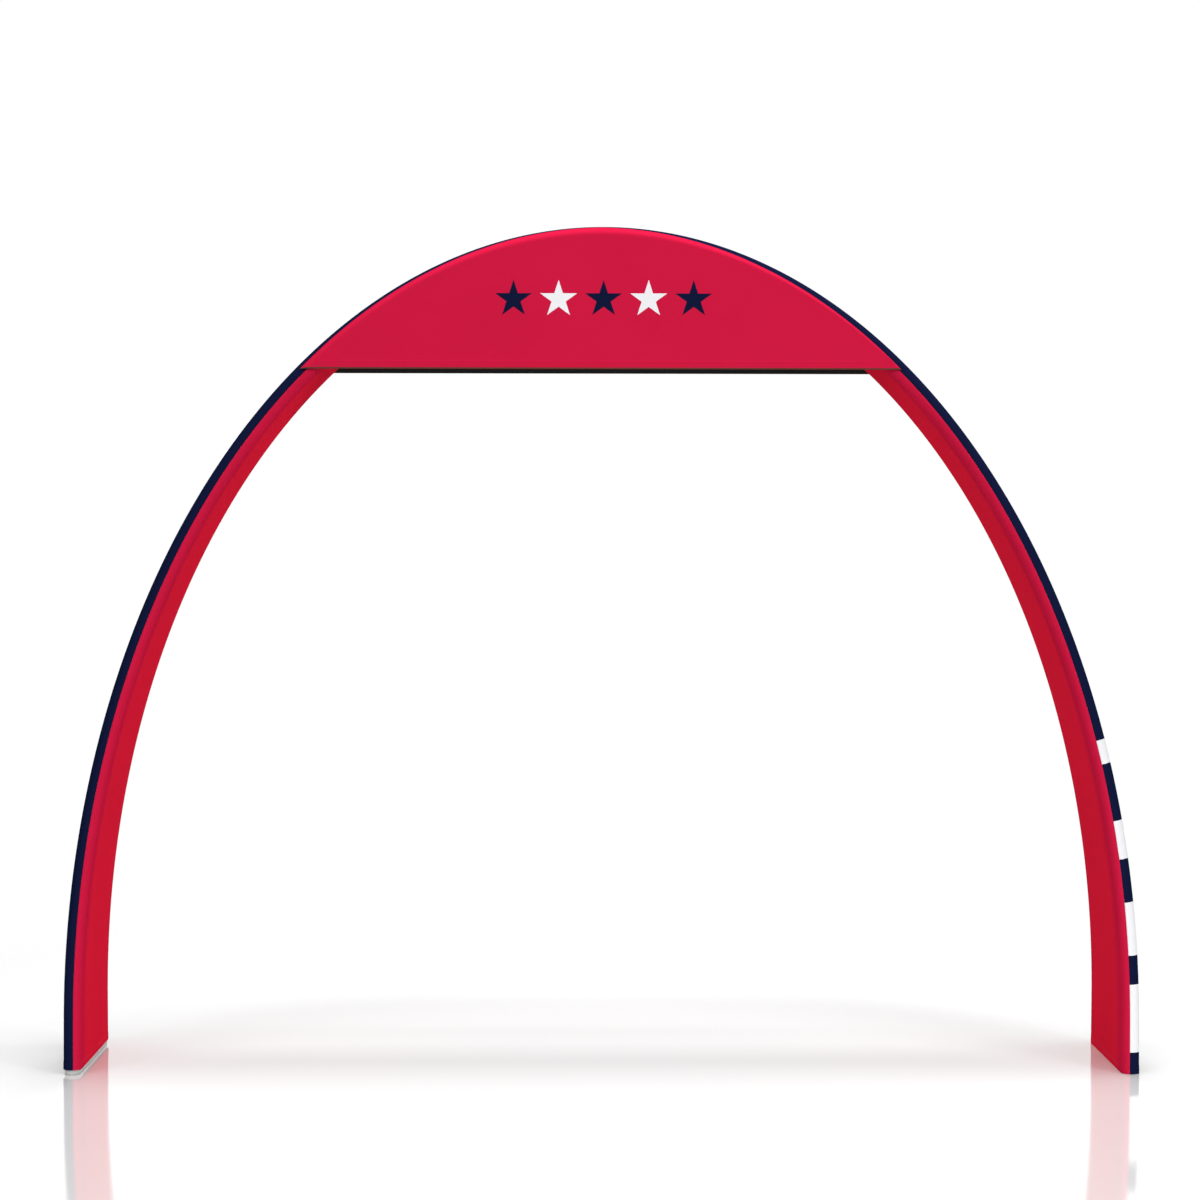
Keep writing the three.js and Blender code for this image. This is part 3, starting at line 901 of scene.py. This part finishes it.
def stitch_row(path, above):
    """Stitches along a path, evenly by its length. A second path, just above it, shows which way is up."""
    steps = np.linalg.norm(np.diff(path, axis=0), axis=-1)
    walked = np.concatenate([[0], np.cumsum(steps)])
    at = np.arange(STITCH_PITCH / 2, walked[-1], STITCH_PITCH)
    ahead = np.minimum(at + STITCH_PITCH / 2, walked[-1])

    def resampled(points, lengths):
        return np.stack([np.interp(lengths, walked, column) for column in points.T], -1)

    centres = resampled(path, at)
    along = unit(resampled(path, ahead) - resampled(path, at - STITCH_PITCH / 2))
    up = resampled(above, at) - centres
    up = unit(up - along * (up * along).sum(axis=-1, keepdims=True))
    return stitch_shape(centres, along, up)


class ARCHWAY_OT_stitching(bpy.types.Operator):
    """Sews the hems of the legs, and the rims and hems of the banners"""

    bl_idname = "archway.stitching"
    bl_label = "Stitching"

    def execute(self, context):
        sizes, colours = context.scene.archway_sizes, context.scene.archway_colours
        line = middle_line(sizes)
        navy = self.leg_hems(sizes, line, OUTWARD)
        red = self.leg_hems(sizes, line, INWARD) + self.banner_rows(sizes, line)
        for name, rows in {"navy": navy, "red": red}.items():
            thread = spun_thread(f"{name}_spun_polyester_thread", tuple(getattr(colours, name)))
            add_piece(f"stitches_{name}", joined(rows), thread)
        return {"FINISHED"}

    def leg_hems(self, sizes, line, facing):
        """Rows across both legs, a little above their hems, from seam to seam."""
        columns = len(LIP_SHARES) * 2 + len(WAYS)
        sunk = hem_relief(STITCH_FROM_HEM)
        rows = []
        for side in LEG_NAMES:
            climbed = leg_hem(sizes, side) + STITCH_FROM_HEM
            walked = np.full((1, columns), climbed if side == LEFT else line.walked[-1] - climbed)
            path, above = (
                band_layer(sizes, line, walked, facing, sizes.edge / 2 + lift, sunk)[0] for lift in (0, MM)
            )
            rows.append(stitch_row(path, above))
        return rows

    def banner_rows(self, sizes, line):
        """A row inside each banner's rim, and one above each hem, left out where the banner is too low."""
        lowest = STITCH_FROM_HEM + STITCH_FROM_EDGE
        rows = []
        for side in SIDE_NAMES:
            walked = np.linspace(*banner_ends(sizes, line, side), LINE_STEPS)[:, None]
            at, _, _, length = banner_layout(sizes, line, walked, side)
            above = at.z - banner_hem(sizes, side)
            for kept, from_rim, relief in (
                (length[:, 0] > lowest, np.full_like(length, STITCH_FROM_EDGE), -turn_in(STITCH_FROM_EDGE)),
                (above[:, 0] > lowest, length - STITCH_FROM_HEM, hem_relief(STITCH_FROM_HEM)),
            ):
                path, raised = (
                    banner_layer(sizes, line, walked[kept], side, from_rim[kept], relief + lift)[:, 0]
                    for lift in (0, MM)
                )
                rows.append(stitch_row(path, raised))
        return rows


def plate_shape(sizes, x):
    """A flat plate with round ends and rounded edges, up from the floor.

    Its outline is two half circles about the tubes' feet. Its edge climbs a quarter circle, the thickness and
    another quarter circle, and the outline shrinks by as much as the edge draws in.
    """
    bend = np.linspace(0, QUARTER, ROUNDING_POINTS)
    drawn_in = PLATE_ROUNDING * (1 - np.sin(bend))
    climbed = PLATE_ROUNDING * (1 - np.cos(bend))
    inset = np.concatenate([drawn_in, drawn_in[::-1]])
    z = np.concatenate([climbed, PLATE_THICK - climbed[::-1]])
    half_turn = np.linspace(0, math.pi, PLATE_END_POINTS)
    turn = np.concatenate([half_turn, half_turn + math.pi])[:, None]
    middle = tube_y(sizes, 0) * np.repeat([BACK, FRONT], PLATE_END_POINTS)[:, None]
    radius = sizes.edge / 2 - PLATE_INSET - inset
    return ringed_shape(points_at(x + radius * np.cos(turn), middle + radius * np.sin(turn), z))


def spigot_shape(sizes, x, side):
    """A round peg with a chamfered top, which stands in a tube and leans as the tube does."""
    foot = PLATE_THICK / 2
    z = foot + np.array([0, SPIGOT_LENGTH - SPIGOT_CHAMFER, SPIGOT_LENGTH])
    radius = SPIGOT_RADIUS - np.array([0, 0, SPIGOT_CHAMFER])
    turn = np.linspace(0, 2 * math.pi, SPIGOT_POINTS, endpoint=False)[:, None]
    middle = side * tube_y(sizes, z)
    return ringed_shape(points_at(x + radius * np.cos(turn), middle + radius * np.sin(turn), z))


class ARCHWAY_OT_foot_plates(bpy.types.Operator):
    """Stands each leg on a coated plate with two spigots"""

    bl_idname = "archway.foot_plates"
    bl_label = "Foot plates"

    def execute(self, context):
        sizes, colours = context.scene.archway_sizes, context.scene.archway_colours
        material = powder_coat("pale_grey_powder_coated_steel", tuple(colours.plate))
        for side, leg in LEG_NAMES.items():
            x = side * half_axes(sizes)[0]
            spigots = [spigot_shape(sizes, x, end) for end in SIDE_NAMES]
            shape = joined([plate_shape(sizes, x), *spigots])
            add_piece(f"foot_plate_{leg}_coated", shape, material, [f"foot_plate_{leg}"])
        return {"FINISHED"}


class ARCHWAY_OT_frame_finish(bpy.types.Operator):
    """Gives the tubes, rails and spreaders under the cover their bare metal"""

    bl_idname = "archway.frame_finish"
    bl_label = "Frame finish"

    def execute(self, context):
        colours = context.scene.archway_colours
        metal = drawn_aluminium("drawn_aluminium_tube", tuple(colours.tube))
        for name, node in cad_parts.items():
            if name.startswith(("arch_tube", "header_rail", "spreader")):
                for slot in node.material_slots:
                    slot.material = metal
        return {"FINISHED"}


# Stage
FLOOR_SIDE = 14.0
FLOOR_FADES = (1.9, 4.0)  # it passes into the surround between these distances from the middle
FLOOR_ROUGHNESS = (0.068, 0.102)
FLOOR_PATCH = 0.5  # width of the patches in its polish
FLOOR_MIRROR = 0.2  # share of the floor that reflects like a mirror
SURROUND_SEEN = 1.01  # strength of the white surround where it is seen or mirrored
SURROUND_LIGHT = 0.06  # strength of the light that it gives
LAMPS = {
    "top": {"place": (0.6, 0.15, 8.0), "aim": (0.6, 0.15, 0.0), "size": (5.0, 1.6), "power": 428.0},
    "ahead": {"place": (0.2, -1.9, 8.0), "aim": (0.2, -1.9, 0.0), "size": (3.0, 0.6), "power": 186.0},
    "front": {"place": (-0.5, -9.0, 4.0), "aim": (0.0, 0.0, 1.2), "size": (4.0, 4.0), "power": 193.0},
    "front_right": {"place": (6.0, -6.0, 3.0), "aim": (0.0, 0.0, 1.2), "size": (3.0, 3.0), "power": 380.0},
    "front_left": {"place": (-6.0, -6.0, 3.0), "aim": (0.0, 0.0, 1.2), "size": (3.0, 3.0), "power": 225.0},
    "back": {"place": (0.0, 9.0, 4.0), "aim": (0.0, 0.0, 1.2), "size": (4.0, 4.0), "power": 520.0},
}
CAMERA_PLACE = (-0.1002, -7.8542, 1.5226)
CAMERA_TURN = (QUARTER - 0.0264, -0.0015, -0.0119)
CAMERA_LENS = 82.49  # millimetres, on a sensor as wide as Blender's default of 36


def polished_floor(name, colour):
    """Sealed white studio floor: pale, with a faintly uneven polish that mirrors what stands on it.

    Away from the middle it passes by a smooth step into the white surround, so that no horizon shows.
    """
    material, tree = new_material(name)
    place = add_node(tree, "ShaderNodeTexCoord", give="Object")
    polish = add_node(tree, NOISE, {"Vector": place, "Scale": 1 / FLOOR_PATCH, "Detail": 2.0}, "Fac")
    low, high = FLOOR_ROUGHNESS
    rough = add_node(tree, RANGE, {"Value": polish, "To Min": low, "To Max": high})
    distance = add_node(tree, VECTOR_MATH, {0: place}, "Value", operation="LENGTH")
    begins, ends = FLOOR_FADES
    fade = {"Value": distance, "From Min": begins, "From Max": ends, "To Min": 1.0, "To Max": 0.0}
    remains = add_node(tree, RANGE, fade, interpolation_type="SMOOTHSTEP")
    looks = {"Base Color": opaque(colour), "Roughness": rough, "Metallic": FLOOR_MIRROR, "Alpha": remains}
    shader = add_node(tree, "ShaderNodeBsdfPrincipled", looks)
    add_node(tree, "ShaderNodeOutputMaterial", {"Surface": shader})
    return material


def add_lamp(name, lamp):
    """A soft oblong lamp at a place, turned to face its aim. It is neither seen nor mirrored."""
    light = bpy.data.lights.new(name, "AREA")
    light.energy = lamp["power"]
    light.shape = "RECTANGLE"
    light.size, light.size_y = lamp["size"]
    holder = bpy.data.objects.new(name, light)
    holder.location = lamp["place"]
    towards = Vector(lamp["aim"]) - Vector(lamp["place"])
    holder.rotation_euler = towards.to_track_quat("-Z", "Y").to_euler()
    holder.visible_camera = False
    holder.visible_glossy = False
    bpy.context.scene.collection.objects.link(holder)


def studio_world(name):
    """A white surround: plain white where it is seen or mirrored, and a dimmer light beside the lamps."""
    world = bpy.data.worlds.new(name)
    world.use_nodes = True
    tree = world.node_tree
    rays = add_node(tree, "ShaderNodeLightPath").node.outputs
    seen = add_node(tree, MATH, {0: rays["Is Camera Ray"], 1: rays["Is Glossy Ray"]}, operation="MAXIMUM")
    strength = add_node(tree, RANGE, {"Value": seen, "To Min": SURROUND_LIGHT, "To Max": SURROUND_SEEN})
    background = tree.nodes["Background"]
    background.inputs["Color"].default_value = opaque((1.0, 1.0, 1.0))
    tree.links.new(strength, background.inputs["Strength"])
    return world


class ARCHWAY_OT_stage(bpy.types.Operator):
    """Sets the arch on a white studio floor, with soft light and the camera"""

    bl_idname = "archway.stage"
    bl_label = "Stage"

    def execute(self, context):
        scene = context.scene
        corners = FLOOR_SIDE / 2 * np.array([[-1, -1, 0], [1, -1, 0], [1, 1, 0], [-1, 1, 0]])
        mesh = bpy.data.meshes.new("studio_floor")
        mesh.from_pydata(corners.tolist(), [], [[0, 1, 2, 3]])
        mesh.materials.append(polished_floor("sealed_white_floor", tuple(scene.archway_colours.floor)))
        floor = bpy.data.objects.new("studio_floor", mesh)
        scene.collection.objects.link(floor)

        scene.world = studio_world("studio")
        for name, lamp in LAMPS.items():
            add_lamp(name, lamp)
        scene.view_settings.view_transform = "Standard"

        camera = bpy.data.objects.new("camera", bpy.data.cameras.new("camera"))
        camera.data.lens = CAMERA_LENS
        camera.location = CAMERA_PLACE
        camera.rotation_euler = CAMERA_TURN
        scene.collection.objects.link(camera)
        scene.camera = camera
        return {"FINISHED"}


STEPS = (
    ARCHWAY_OT_outer_band,
    ARCHWAY_OT_inner_bands,
    ARCHWAY_OT_banners,
    ARCHWAY_OT_underside,
    ARCHWAY_OT_stitching,
    ARCHWAY_OT_foot_plates,
    ARCHWAY_OT_frame_finish,
    ARCHWAY_OT_stage,
)


class VIEW3D_PT_archway(bpy.types.Panel):
    """Sizes and colours of the archway, and the steps that make it"""

    bl_label = "Archway banner stand"
    bl_space_type = "VIEW_3D"
    bl_region_type = "UI"
    bl_category = "Archway"

    def draw(self, context):
        for group in (context.scene.archway_sizes, context.scene.archway_colours):
            box = self.layout.box()
            for name in group.__annotations__:
                box.prop(group, name)
        for step in STEPS:
            self.layout.operator(step.bl_idname)


CLASSES = (ArchwaySizes, ArchwayColours, *STEPS, VIEW3D_PT_archway)


def register():
    """Adds the classes, and the sizes and colours of each scene."""
    for each in CLASSES:
        bpy.utils.register_class(each)
    bpy.types.Scene.archway_sizes = bpy.props.PointerProperty(type=ArchwaySizes)
    bpy.types.Scene.archway_colours = bpy.props.PointerProperty(type=ArchwayColours)


def unregister():
    """Takes away what register added."""
    del bpy.types.Scene.archway_colours
    del bpy.types.Scene.archway_sizes
    for each in reversed(CLASSES):
        bpy.utils.unregister_class(each)


def main():
    """Builds the archway and its stage."""
    register()
    bpy.ops.archway.outer_band()
    bpy.ops.archway.inner_bands()
    bpy.ops.archway.banners()
    bpy.ops.archway.underside()
    bpy.ops.archway.stitching()
    bpy.ops.archway.foot_plates()
    bpy.ops.archway.frame_finish()
    bpy.ops.archway.stage()


if __name__ == "__main__":
    main()
